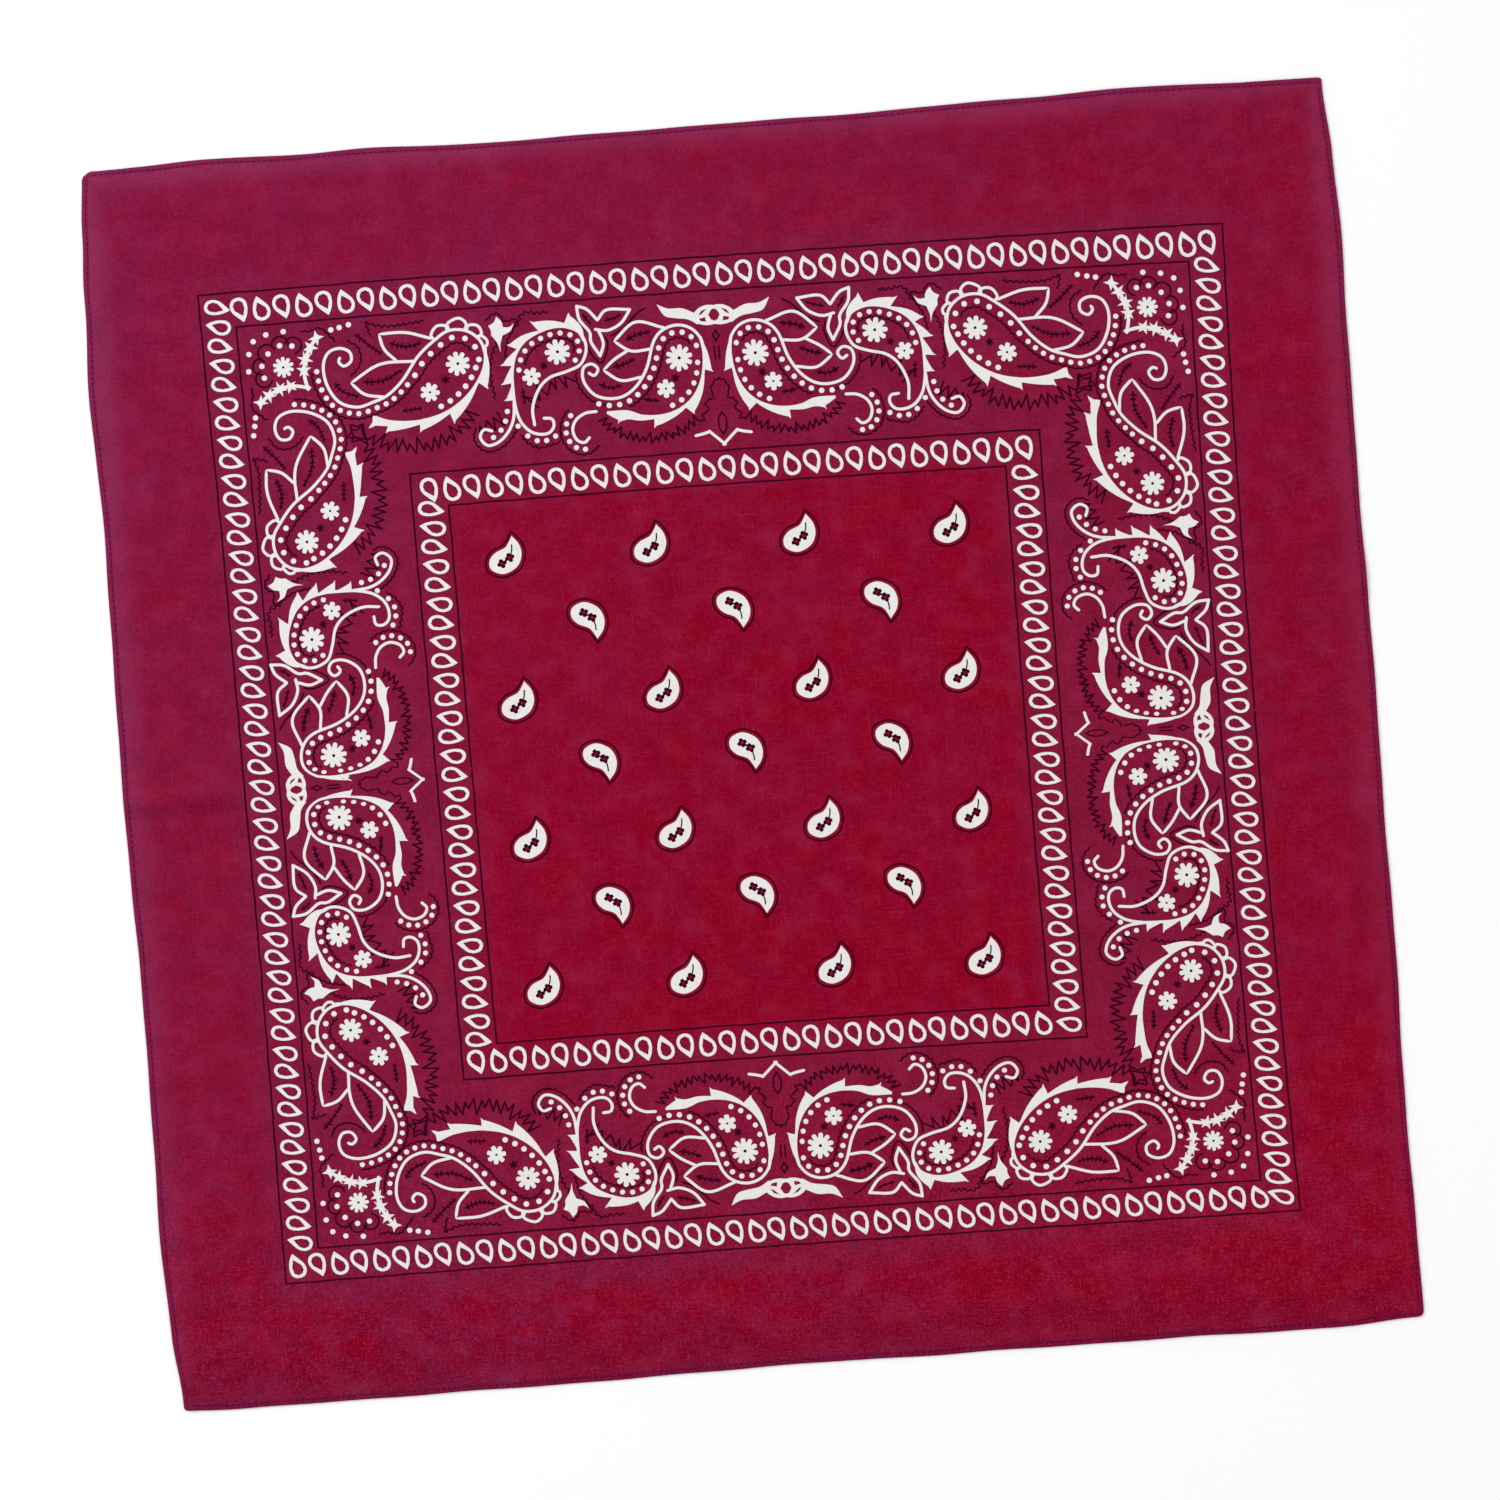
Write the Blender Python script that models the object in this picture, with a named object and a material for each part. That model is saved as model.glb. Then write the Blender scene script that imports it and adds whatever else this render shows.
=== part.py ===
"""A square printed cotton bandana, spread flat on a table.

Metres, +Z up. The origin is under the middle of the cloth, on the surface it
lies on. The sides run along X and Y, and +Y is the top of the print.

The bandana is one square of thin cotton whose four cut edges are turned twice
and stitched: `panel` is the cloth inside the hems, and each hem is a strip of
its own. The cloth rests on its flat underside and lifts off the table only
along a few low, soft ridges near its edges.
"""
import math

import bmesh
import bpy

# ---- driving dimensions --------------------------------------------------
SIDE = 0.550              # finished side of the bandana
HEM_WIDTH = 0.0030        # narrow double-turned hem
CLOTH_THICKNESS = 0.0010  # wall of the single cloth
HEM_THICKNESS = 0.0016    # wall of the turned hem, thicker than the cloth
SEAM_GAP = 0.0003         # clearance between neighbouring pieces
CORNER_RADIUS = 0.0025    # rounding of the turned corners
SKEW = 0.0033             # the weave is pulled this much out of square
BOW_FADE = 8              # how fast the bow of a side dies out away from it
CELLS = 32                # cells along a side of the cloth
CORNER_STEPS = 4          # stations round each rounded corner

HALF = SIDE / 2
HEM_INNER = HALF - HEM_WIDTH
PANEL_HALF = HEM_INNER - SEAM_GAP

# The sides aren't quite straight: how far each bows outward, in millimetres,
# at fractions of its length. Left and right run from the top corner down, top
# and bottom run from the left corner to the right.
#            fraction, bow
SIDE_BOWS_MM = {
    "left": ((0.00, 0.0), (0.05, 2.1), (0.10, 3.5), (0.19, 4.9), (0.29, 3.2), (0.42, 4.2),
             (0.53, 4.6), (0.64, 3.4), (0.75, 3.5), (0.86, 4.5), (0.94, 2.7), (1.00, 0.0)),
    "right": ((0.00, 0.0), (0.06, 1.9), (0.12, 3.1), (0.25, 2.0), (0.37, 1.5), (0.47, 1.9),
              (0.58, 1.0), (0.70, 1.0), (0.84, -0.5), (0.92, 0.1), (1.00, 0.0)),
    "top": ((0.00, 0.0), (0.05, 0.4), (0.10, 1.4), (0.17, 0.5), (0.22, 0.9), (0.33, -0.7),
            (0.50, -0.2), (0.63, -0.1), (0.74, 1.0), (0.86, 2.0), (0.94, 0.6), (1.00, 0.0)),
    "bottom": ((0.00, 0.0), (0.05, 1.0), (0.18, 0.9), (0.33, 0.9), (0.49, -0.1), (0.62, 0.6),
               (0.78, 1.0), (0.93, 1.8), (1.00, 0.0)),
}

# Low soft ridges where the cloth stands off the table, in millimetres and
# degrees from +X.
#    x,    y, heading, length, width, height
RIDGES_MM = (
    (246, 66, -24, 96, 34, 2.2),
    (256, -78, 82, 120, 28, 1.6),
    (262, 176, 96, 84, 24, 1.2),
    (-258, 128, 84, 104, 30, 2.0),
    (-240, -2, 4, 90, 26, 1.4),
    (-248, -182, 66, 116, 42, 2.4),
    (122, 258, 6, 132, 28, 1.8),
    (-196, 256, -9, 96, 26, 1.3),
    (66, -258, 4, 150, 26, 1.7),
    (-118, -262, -7, 76, 22, 1.0),
)

# Outline of a hem's cross-section: across its width from the inner edge, and
# up from its underside, both as fractions.
#    across, up
HEM_SECTION = (
    (0.00, 0.00),
    (1.00, 0.00),
    (1.00, 0.60),
    (0.80, 1.00),
    (0.14, 1.00),
    (0.00, 0.80),
)

# name: (base colour, roughness)
FINISHES = {
    "cloth": ((0.240, 0.0060, 0.0290), 0.92),
    "hem": ((0.180, 0.0060, 0.0330), 0.92),
}


# ---- the cloth's form ----------------------------------------------------
def bow(side, fraction):
    """Outward bow of one side, in metres, on a smooth curve through its table."""
    table = SIDE_BOWS_MM[side]
    fraction = min(max(fraction, 0.0), 1.0)
    index = 0
    while index < len(table) - 2 and fraction > table[index + 1][0]:
        index += 1
    before, after = table[index], table[index + 1]
    t = (fraction - before[0]) / (after[0] - before[0])
    ease = t * t * (3 - 2 * t)
    return (before[1] + (after[1] - before[1]) * ease) / 1000


def spread(x, y):
    """Move a point of the true square to where the skewed, bowed cloth has it."""
    down = 0.5 - y / SIDE
    across = 0.5 + x / SIDE
    to_right = max(x / HALF, 0.0) ** BOW_FADE * bow("right", down)
    to_left = max(-x / HALF, 0.0) ** BOW_FADE * bow("left", down)
    to_top = max(y / HALF, 0.0) ** BOW_FADE * bow("top", across)
    to_bottom = max(-y / HALF, 0.0) ** BOW_FADE * bow("bottom", across)
    return x - SKEW * y + to_right - to_left, y - SKEW * x + to_top - to_bottom


def stations():
    """Places along a side where the cloth and the hems share their sections."""
    return [PANEL_HALF * (2 * i / CELLS - 1) for i in range(CELLS + 1)]


def middle_of_outline():
    """Middle of the box round the outline, which is put over the origin."""
    outline = []
    for along in stations():
        outline += [spread(along, HALF), spread(along, -HALF)]
        outline += [spread(HALF, along), spread(-HALF, along)]
    xs = [x for x, _ in outline]
    ys = [y for _, y in outline]
    return (min(xs) + max(xs)) / 2, (min(ys) + max(ys)) / 2


MIDDLE_X, MIDDLE_Y = middle_of_outline()


def plan(x, y):
    """Plan position of a point of the true square."""
    spread_x, spread_y = spread(x, y)
    return spread_x - MIDDLE_X, spread_y - MIDDLE_Y


def lift(x, y):
    """Height of the cloth's underside above the table."""
    height = 0.0
    for ridge_x, ridge_y, heading, length, width, crest in RIDGES_MM:
        turn = math.radians(heading)
        dx = x * 1000 - ridge_x
        dy = y * 1000 - ridge_y
        along = abs(dx * math.cos(turn) + dy * math.sin(turn)) / (length / 2)
        beside = abs(dy * math.cos(turn) - dx * math.sin(turn)) / (width / 2)
        reach = math.hypot(along, beside)
        if reach < 1:
            height += crest * math.cos(reach * math.pi / 2) ** 2 / 1000
    return height


# ---- pieces --------------------------------------------------------------
def finish(name):
    """The Principled material of one finish, made once."""
    if name in bpy.data.materials:
        return bpy.data.materials[name]
    colour, roughness = FINISHES[name]
    material = bpy.data.materials.new(name)
    material.use_nodes = True
    shader = material.node_tree.nodes["Principled BSDF"]
    shader.inputs["Base Color"].default_value = (*colour, 1.0)
    shader.inputs["Roughness"].default_value = roughness
    shader.inputs["Metallic"].default_value = 0.0
    return material


def add_object(name, bm, finish_name):
    """Turn a finished bmesh into a named object."""
    bmesh.ops.recalc_face_normals(bm, faces=bm.faces)
    mesh = bpy.data.meshes.new(name)
    bm.to_mesh(mesh)
    bm.free()
    mesh.materials.append(finish(finish_name))
    part = bpy.data.objects.new(name, mesh)
    bpy.context.scene.collection.objects.link(part)
    return part


def make_panel():
    """The cloth inside the hems: a grid laid to shape, raised by its thickness."""
    bm = bmesh.new()
    bmesh.ops.create_grid(bm, x_segments=CELLS, y_segments=CELLS, size=PANEL_HALF)
    for vertex in bm.verts:
        x, y = vertex.co.x, vertex.co.y
        vertex.co = (*plan(x, y), lift(x, y))
    raised = bmesh.ops.extrude_face_region(bm, geom=bm.faces[:], use_keep_orig=True)
    top = [item for item in raised["geom"] if isinstance(item, bmesh.types.BMVert)]
    bmesh.ops.translate(bm, verts=top, vec=(0, 0, CLOTH_THICKNESS))
    return add_object("panel", bm, "cloth")


def hem_ring(bm, place, position, outer):
    """One cross-section of a hem, at a position along its side."""
    ring = []
    for across, up in HEM_SECTION:
        out = HEM_INNER + (outer - HEM_INNER) * across
        x, y = place(position, out)
        ring.append(bm.verts.new((*plan(x, y), lift(x, y) + HEM_THICKNESS * up)))
    return ring


def outer_edge(position):
    """How far out a full-width hem reaches, drawn in round each corner."""
    into_corner = max(abs(position) - (HALF - CORNER_RADIUS), 0.0)
    rise = math.sqrt(max(CORNER_RADIUS ** 2 - into_corner ** 2, 0.0))
    return HALF - CORNER_RADIUS + rise


def make_hem(name, place, full_width):
    """A hem along one side, as cross-sections joined end to end."""
    positions = stations()
    if full_width:
        turns = [math.pi / 2 * i / CORNER_STEPS for i in range(CORNER_STEPS + 1)]
        corner = [HALF - CORNER_RADIUS * (1 - math.sin(turn)) for turn in turns]
        positions = [-p for p in reversed(corner)] + positions + corner
    bm = bmesh.new()
    rings = [hem_ring(bm, place, p, outer_edge(p) if full_width else HALF) for p in positions]
    sides = len(HEM_SECTION)
    for ring, following in zip(rings, rings[1:]):
        for i in range(sides):
            j = (i + 1) % sides
            bm.faces.new((ring[i], ring[j], following[j], following[i]))
    bm.faces.new(rings[0])
    bm.faces.new(rings[-1])
    return add_object(name, bm, "hem")


def main():
    for old in list(bpy.data.objects):
        bpy.data.objects.remove(old, do_unlink=True)
    make_panel()
    make_hem("hem_top", lambda along, out: (along, out), full_width=True)
    make_hem("hem_bottom", lambda along, out: (along, -out), full_width=True)
    make_hem("hem_left", lambda along, out: (-out, along), full_width=False)
    make_hem("hem_right", lambda along, out: (out, along), full_width=False)


main()
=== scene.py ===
"""Looks of a square printed cotton bandana that lies flat on a table.

The cloth is one thin shell with its hems turned under, the print lies on it as
two inks, and the hems are sewn with small stitches. The design is built in
millimetres on the true square of the cloth, then moved to where the skewed and
bowed cloth has it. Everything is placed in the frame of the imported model.
"""

import math

import bpy
import numpy as np
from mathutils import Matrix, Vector
from mathutils.geometry import delaunay_2d_cdt


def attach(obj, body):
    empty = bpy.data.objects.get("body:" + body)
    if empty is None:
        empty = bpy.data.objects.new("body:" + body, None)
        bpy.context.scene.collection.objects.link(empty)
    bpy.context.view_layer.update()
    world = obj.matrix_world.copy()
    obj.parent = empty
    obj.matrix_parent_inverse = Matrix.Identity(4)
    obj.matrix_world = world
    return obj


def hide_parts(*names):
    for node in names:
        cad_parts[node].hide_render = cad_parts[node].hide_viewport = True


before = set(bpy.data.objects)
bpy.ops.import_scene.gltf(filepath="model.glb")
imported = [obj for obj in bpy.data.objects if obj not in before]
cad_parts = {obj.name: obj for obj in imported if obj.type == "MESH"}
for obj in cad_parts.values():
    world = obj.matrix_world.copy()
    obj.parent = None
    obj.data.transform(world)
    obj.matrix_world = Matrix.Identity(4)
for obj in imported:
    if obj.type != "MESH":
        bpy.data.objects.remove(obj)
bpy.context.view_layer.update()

MM = 0.001
QUARTERS = ((1, 0), (0, 1), (-1, 0), (0, -1))  # cosine and sine of the quarter turns

# ---- the cloth's outline and height, as in the CAD part, in millimetres
SIDE = 550.0  # finished side of the bandana
HALF = SIDE / 2
SKEW = 0.0033  # the weave is pulled this much out of square
BOW_FADE = 8  # how fast the bow of a side dies out away from it
PANEL_STEPS = 32  # stations along a side that fix the middle of the outline
PANEL_HALF = 271.7  # half of the cloth inside the hems

# How far each side bows outward at fractions of its length. Left and right run
# from the top corner down, top and bottom from the left corner to the right.
#            fraction, bow
SIDE_BOWS = {
    "left": ((0, 0), (0.05, 2.1), (0.10, 3.5), (0.19, 4.9), (0.29, 3.2), (0.42, 4.2),
             (0.53, 4.6), (0.64, 3.4), (0.75, 3.5), (0.86, 4.5), (0.94, 2.7), (1, 0)),
    "right": ((0, 0), (0.06, 1.9), (0.12, 3.1), (0.25, 2.0), (0.37, 1.5), (0.47, 1.9),
              (0.58, 1.0), (0.70, 1.0), (0.84, -0.5), (0.92, 0.1), (1, 0)),
    "top": ((0, 0), (0.05, 0.4), (0.10, 1.4), (0.17, 0.5), (0.22, 0.9), (0.33, -0.7),
            (0.50, -0.2), (0.63, -0.1), (0.74, 1.0), (0.86, 2.0), (0.94, 0.6), (1, 0)),
    "bottom": ((0, 0), (0.05, 1.0), (0.18, 0.9), (0.33, 0.9), (0.49, -0.1), (0.62, 0.6),
               (0.78, 1.0), (0.93, 1.8), (1, 0)),
}

# Low soft ridges where the cloth stands off the table; headings in degrees from +X.
#    x,    y, heading, length, width, height
RIDGES = (
    (246, 66, -24, 96, 34, 2.2),
    (256, -78, 82, 120, 28, 1.6),
    (262, 176, 96, 84, 24, 1.2),
    (-258, 128, 84, 104, 30, 2.0),
    (-240, -2, 4, 90, 26, 1.4),
    (-248, -182, 66, 116, 42, 2.4),
    (122, 258, 6, 132, 28, 1.8),
    (-196, 256, -9, 96, 26, 1.3),
    (66, -258, 4, 150, 26, 1.7),
    (-118, -262, -7, 76, 22, 1.0),
)

# Creases and soft swells of the cloth itself, uneven.
#    x,    y, heading, length, width, height
CREASES = (
    (-150, -1, 1, 330, 9, 0.42),  # pressed fold across the middle, left
    (60, -4, -1, 300, 8, 0.34),  # and on to the right
    (214, -2, 3, 120, 9, 0.40),
    (-2, 190, 91, 190, 9, 0.22),  # pressed fold down the middle
    (1, -170, 89, 230, 9, 0.24),
    (252, 62, -34, 84, 13, 0.75),  # crease in the right margin
    (238, 24, -58, 60, 12, 0.40),
    (262, -132, 74, 70, 12, 0.45),
    (240, -236, -40, 56, 12, 0.45),
    (-250, 92, 62, 64, 13, 0.50),
    (-262, 30, 100, 62, 11, 0.40),
    (-246, -120, 78, 74, 14, 0.45),
    (-226, -244, 30, 74, 15, 0.55),
    (-90, 252, 12, 90, 14, 0.40),
    (30, 262, -7, 74, 11, 0.35),
    (214, 250, -22, 74, 13, 0.45),
    (-20, -254, 5, 96, 13, 0.40),
    (166, -250, -6, 92, 12, 0.35),
    (-96, 60, 34, 130, 30, 0.20),
    (84, -70, -28, 150, 34, 0.22),
    (36, 84, 76, 120, 30, 0.16),
    (-60, -110, -52, 120, 28, 0.18),
)

CLOTH = 0.42  # thickness of the single cloth
HEM = 0.93  # thickness of the turned and stitched hem
HEM_WIDTH = 3.0  # width of the turned hem
HEM_REACH = 9.0  # how far in the hem holds the cloth off the table
TABLE_GAP = 0.02  # gap under the cloth
SWELL = 0.16  # height of the cloth's faint unevenness
PUCKER = 0.11  # height of the puckers that the stitches draw up
PUCKER_REACH = 14.0  # how far in from the edge they run
STITCH_LINE = 1.9  # distance of the stitches from the edge


def bow(side, fraction):
    """Outward bow of a side, on a smooth curve through its table."""
    table = np.array(SIDE_BOWS[side])
    fraction = np.clip(fraction, 0.0, 1.0)
    before = np.searchsorted(table[1:-1, 0], fraction)
    start, end = table[before], table[before + 1]
    t = (fraction - start[..., 0]) / (end[..., 0] - start[..., 0])
    return start[..., 1] + (end[..., 1] - start[..., 1]) * t * t * (3 - 2 * t)


def spread(x, y):
    """Where the skewed, bowed cloth has a point of the true square."""
    down = 0.5 - y / SIDE
    across = 0.5 + x / SIDE
    to_right = np.maximum(x / HALF, 0.0) ** BOW_FADE * bow("right", down)
    to_left = np.maximum(-x / HALF, 0.0) ** BOW_FADE * bow("left", down)
    to_top = np.maximum(y / HALF, 0.0) ** BOW_FADE * bow("top", across)
    to_bottom = np.maximum(-y / HALF, 0.0) ** BOW_FADE * bow("bottom", across)
    return x - SKEW * y + to_right - to_left, y - SKEW * x + to_top - to_bottom


def middle_of_outline():
    """Middle of the box round the outline, which is put over the origin."""
    along = PANEL_HALF * np.linspace(-1.0, 1.0, PANEL_STEPS + 1)
    edge = np.full_like(along, HALF)
    sides = [spread(along, edge), spread(along, -edge), spread(edge, along), spread(-edge, along)]
    xs = np.concatenate([x for x, _ in sides])
    ys = np.concatenate([y for _, y in sides])
    return (xs.min() + xs.max()) / 2, (ys.min() + ys.max()) / 2


MIDDLE_X, MIDDLE_Y = middle_of_outline()


def plan(x, y):
    """Plan position of points of the true square."""
    spread_x, spread_y = spread(x, y)
    return spread_x - MIDDLE_X, spread_y - MIDDLE_Y


def ridges(table, x, y):
    """Summed height of soft ridges with a rounded crest."""
    height = np.zeros_like(x)
    for ridge_x, ridge_y, heading, length, width, crest in table:
        turn = math.radians(heading)
        dx, dy = x - ridge_x, y - ridge_y
        along = (dx * math.cos(turn) + dy * math.sin(turn)) / (length / 2)
        beside = (dy * math.cos(turn) - dx * math.sin(turn)) / (width / 2)
        reach = np.minimum(np.hypot(along, beside), 1.0)
        height += crest * np.cos(reach * math.pi / 2) ** 2
    return height


def smooth(t):
    t = np.clip(t, 0.0, 1.0)
    return t * t * (3 - 2 * t)


def ground(x, y):
    """Height under the cloth: ridges, creases, faint swells and puckered edges."""
    height = ridges(RIDGES, x, y) + ridges(CREASES, x, y)
    swell = (np.sin(x / 17 + 1.3 * np.sin(y / 29)) * np.sin(y / 21 + 1.1 * np.sin(x / 37))
             + 0.6 * np.sin(x / 7.3 + y / 31 + 2.0 * np.sin(y / 19)) * np.sin(y / 9.1 - x / 43))
    height += SWELL * (swell + 1.6) / 3.2
    from_edge = HALF - np.maximum(np.abs(x), np.abs(y))
    along = np.where(np.abs(x) > np.abs(y), y, x)
    wave = np.sin(along / 1.35 + 1.7 * np.sin(along / 11.0)) * np.sin(along / 23.0 + 0.8)
    height += PUCKER * (wave + 1.0) * smooth(1 - from_edge / PUCKER_REACH)
    return height + TABLE_GAP


def under_hem(x, y):
    """How far the turned hem holds the single cloth off the table."""
    from_edge = HALF - np.maximum(np.abs(x), np.abs(y))
    return (HEM - CLOTH) * smooth((HEM_REACH - from_edge) / (HEM_REACH - HEM_WIDTH))


def top_height(x, y):
    return ground(x, y) + under_hem(x, y) + CLOTH


def top_normals(x, y):
    """Normals of the cloth's upper side."""
    step = 0.4
    slope_x = (top_height(x + step, y) - top_height(x - step, y)) / (2 * step)
    slope_y = (top_height(x, y + step) - top_height(x, y - step)) / (2 * step)
    normals = np.column_stack([-slope_x, -slope_y, np.ones_like(slope_x)])
    return normals / np.linalg.norm(normals, axis=1)[:, None]


def in_place(x, y, z):
    """Points of the true square, in metres, where the real cloth has them."""
    place_x, place_y = plan(x, y)
    return np.column_stack([place_x, place_y, z]) * MM


# ---- the cloth
GRID_ENDS = (269.0, 268.0, 266.7, 265.0, 262.8)
GRID_HALF = GRID_ENDS[0]  # the grid ends here, and the turned edge goes on from it
GRID_MIDDLE = 184  # lines between the closer ones at the ends
CORNER_ROUND = {(-1, 1): (3.6, 1.25), (1, 1): (1.2, 2.0), (1, -1): (2.6, 2.0), (-1, -1): (1.6, 2.0)}
EDGE_WANDER = 0.22  # how far the turned edge wanders in and out

# Cross-section of the turned edge, from the grid on top round to the grid below:
# distance from the edge, height over the ground, and whether the hem's rise adds.
EDGE_SECTION = (
    (5, CLOTH, 1), (4, CLOTH, 1), (3.2, CLOTH + 0.01, 1), (2.75, 0.91, 0), (2.3, 0.80, 0), (1.9, 0.92, 0),
    (1.3, 0.95, 0), (0.75, 0.92, 0), (0.35, 0.82, 0), (0.1, 0.66, 0), (0, 0.46, 0), (0.1, 0.26, 0),
    (0.35, 0.10, 0), (0.8, 0.02, 0), (2.2, 0, 0), (2.9, 0.01, 0), (3, 0.46, 0), (3.5, 0, 1), (4.7, 0, 1),
)


def grid_lines():
    ends = np.array(GRID_ENDS)
    inner = GRID_ENDS[-1] - (GRID_ENDS[-1] * 2 / (GRID_MIDDLE + 1))
    return np.concatenate([-ends, np.linspace(-inner, inner, GRID_MIDDLE), ends[::-1]])


LINES = grid_lines()
COUNT = len(LINES)


def rounded(x, y, from_edge):
    """Draw points on a concentric square in round its corners."""
    x, y = x.copy(), y.copy()
    size = HALF - from_edge
    for (side_x, side_y), (radius, power) in CORNER_ROUND.items():
        radius = max(radius - from_edge, 0.0)
        over_x, over_y = side_x * x - (size - radius), side_y * y - (size - radius)
        inside = (over_x > 0) & (over_y > 0) & (radius > 0)
        norm = (over_x[inside] ** power + over_y[inside] ** power) ** (1 / power)
        x[inside] = side_x * (size - radius + over_x[inside] * radius / norm)
        y[inside] = side_y * (size - radius + over_y[inside] * radius / norm)
    return x, y


def boundary_loop():
    """Indices of the grid's boundary points, in order round it."""
    last = COUNT - 1
    bottom = [i * COUNT for i in range(last)]
    right = [last * COUNT + j for j in range(last)]
    top = [i * COUNT + last for i in range(last, 0, -1)]
    left = [j for j in range(last, 0, -1)]
    return np.array(bottom + right + top + left)


def shell():
    """Points and faces of the cloth: a grid on top, the turned edge, and a grid below."""
    grid_x, grid_y = (axis.ravel() for axis in np.meshgrid(LINES, LINES, indexing="ij"))
    points = [np.column_stack([grid_x, grid_y, top_height(grid_x, grid_y)]),
              np.column_stack([grid_x, grid_y, ground(grid_x, grid_y) + under_hem(grid_x, grid_y)])]
    loop = boundary_loop()
    along = np.arange(len(loop))
    wander = EDGE_WANDER * np.sin(along * 0.31) * np.sin(along * 0.083 + 1.0)
    for from_edge, height, rise in EDGE_SECTION:
        scale = (HALF - from_edge) / GRID_HALF
        x, y = rounded(grid_x[loop] * scale, grid_y[loop] * scale, from_edge)
        drawn_in = 1 + wander * (1 - from_edge / (HALF - GRID_HALF)) / HALF
        x, y = x * drawn_in, y * drawn_in
        points.append(np.column_stack([x, y, ground(x, y) + height + rise * under_hem(x, y)]))
    cell = np.arange(COUNT - 1)
    corner = (cell[:, None] * COUNT + cell).ravel()
    a, b, c, d = corner, corner + COUNT, corner + COUNT + 1, corner + 1
    top = np.vstack([np.column_stack([a, b, c]), np.column_stack([a, c, d])])
    below = top[:, ::-1] + COUNT ** 2
    rings = [loop] + [2 * COUNT ** 2 + len(loop) * i + along for i in range(len(EDGE_SECTION))]
    rings.append(loop + COUNT ** 2)
    edge = []
    for ring, following in zip(rings, rings[1:]):
        first, second = ring, np.roll(ring, -1)
        third, fourth = np.roll(following, -1), following
        edge += [np.column_stack([first, fourth, third]), np.column_stack([first, third, second])]
    return np.vstack(points), top, np.vstack(edge), below


def add_object(name, data):
    piece = bpy.data.objects.new(name, data)
    bpy.context.scene.collection.objects.link(piece)
    return piece


def add_mesh(name, points, faces, materials):
    """A mesh from arrays of points, in metres, and triangles."""
    mesh = bpy.data.meshes.new(name)
    mesh.vertices.add(len(points))
    mesh.vertices.foreach_set("co", points.astype(np.float32).ravel())
    mesh.loops.add(faces.size)
    mesh.loops.foreach_set("vertex_index", faces.astype(np.int32).ravel())
    mesh.polygons.add(len(faces))
    mesh.polygons.foreach_set("loop_start", np.arange(0, faces.size, 3, dtype=np.int32))
    mesh.polygons.foreach_set("use_smooth", np.ones(len(faces), bool))
    mesh.update(calc_edges=True)
    mesh.validate()
    for material in materials:
        mesh.materials.append(material)
    return add_object(name, mesh)


# ---- the print: curves and marks
# A mark is (layer, ink, outline), with the outline in millimetres. Where marks
# overlap, the one on the higher layer shows.
BARE, WHITE, BLACK = 0, 1, 2
UNDER_LAYER, LINE_LAYER, CENTRE_LAYER, EYE_LAYER = 0, 1, 2, 3

DESIGN_HALF = 223.0  # half of the design, out to its outer line
BORDER_HALF = 207.5  # half of the line outside the border, in the design
CURVE_STEP = 0.95  # spacing of points on a printed curve
WHITE_LINE = 1.28  # width of the white outlines
BLACK_LINE = 0.72  # width of the black pen lines
STROKE_CHUNK = 6  # steps of a curve in one outline
LACE_LINE = 1.25  # width of the lace
FRAME_LINE = 0.70  # width of the ruled lines
FIELD_LINE = 0.75  # width of the rings round the field's paisleys
POINT_TIP = 0.25  # share of its width that a line has left at a pointed end
POINT_LENGTH = 1.6  # length of that point, in widths of the line
SHOULDER = 0.62  # share of its reach at which a scallop of the lace turns over
TREMBLE = 1.6  # how far a rippled line strays for a swing of 1
BARB_FULL = 0.86  # share of its tip's reach that a barb swells to before the tip
BARB_CURVE = 1.15  # how late it swells


def even(points, step=CURVE_STEP):
    """The same polyline with its points spaced evenly."""
    points = np.asarray(points, float)
    legs = np.hypot(*np.diff(points, axis=0).T)
    run = np.concatenate(([0.0], np.cumsum(legs)))
    count = max(int(round(run[-1] / step)), 2)
    at = np.linspace(0.0, run[-1], count + 1)
    return np.column_stack([np.interp(at, run, points[:, 0]), np.interp(at, run, points[:, 1])])


def through(points, step=CURVE_STEP):
    """A smooth curve through a few points, evenly stepped."""
    p = np.asarray(points, float)
    p = np.vstack([2 * p[0] - p[1], p, 2 * p[-1] - p[-2]])
    t = np.linspace(0.0, 1.0, 12, endpoint=False)[:, None]
    spans = []
    for a, b, c, d in zip(p, p[1:], p[2:], p[3:]):
        spans.append(0.5 * (2 * b + (c - a) * t + (2 * a - 5 * b + 4 * c - d) * t ** 2
                            + (3 * b - a - 3 * c + d) * t ** 3))
    return even(np.vstack(spans + [p[-2:-1]]), step)


def winding(centre, start_radius, end_radius, start, end, count):
    """Points on a curl that tightens from one radius to another, between two angles."""
    share = np.linspace(0.0, 1.0, count)
    radius = start_radius * (end_radius / start_radius) ** share
    angle = np.radians(start + (end - start) * share)
    return [(centre[0] + r * math.cos(t), centre[1] + r * math.sin(t)) for r, t in zip(radius, angle)]


def bent(start, end, bulge):
    """A curve between two points that bulges to the left of the way there."""
    start, end = np.array(start, float), np.array(end, float)
    way = end - start
    middle = (start + end) / 2 + np.array([-way[1], way[0]]) / np.hypot(*way) * bulge
    return through([start, middle, end])


def directions(path):
    """Unit tangents and the normals to their left."""
    tangent = np.gradient(np.asarray(path, float), axis=0)
    tangent /= np.maximum(np.hypot(tangent[:, 0], tangent[:, 1]), 1e-9)[:, None]
    return tangent, np.column_stack([-tangent[:, 1], tangent[:, 0]])


def beside(path, distance):
    """The curve that runs beside a path, to its left for a positive distance."""
    return even(path + directions(path)[1] * distance)


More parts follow.
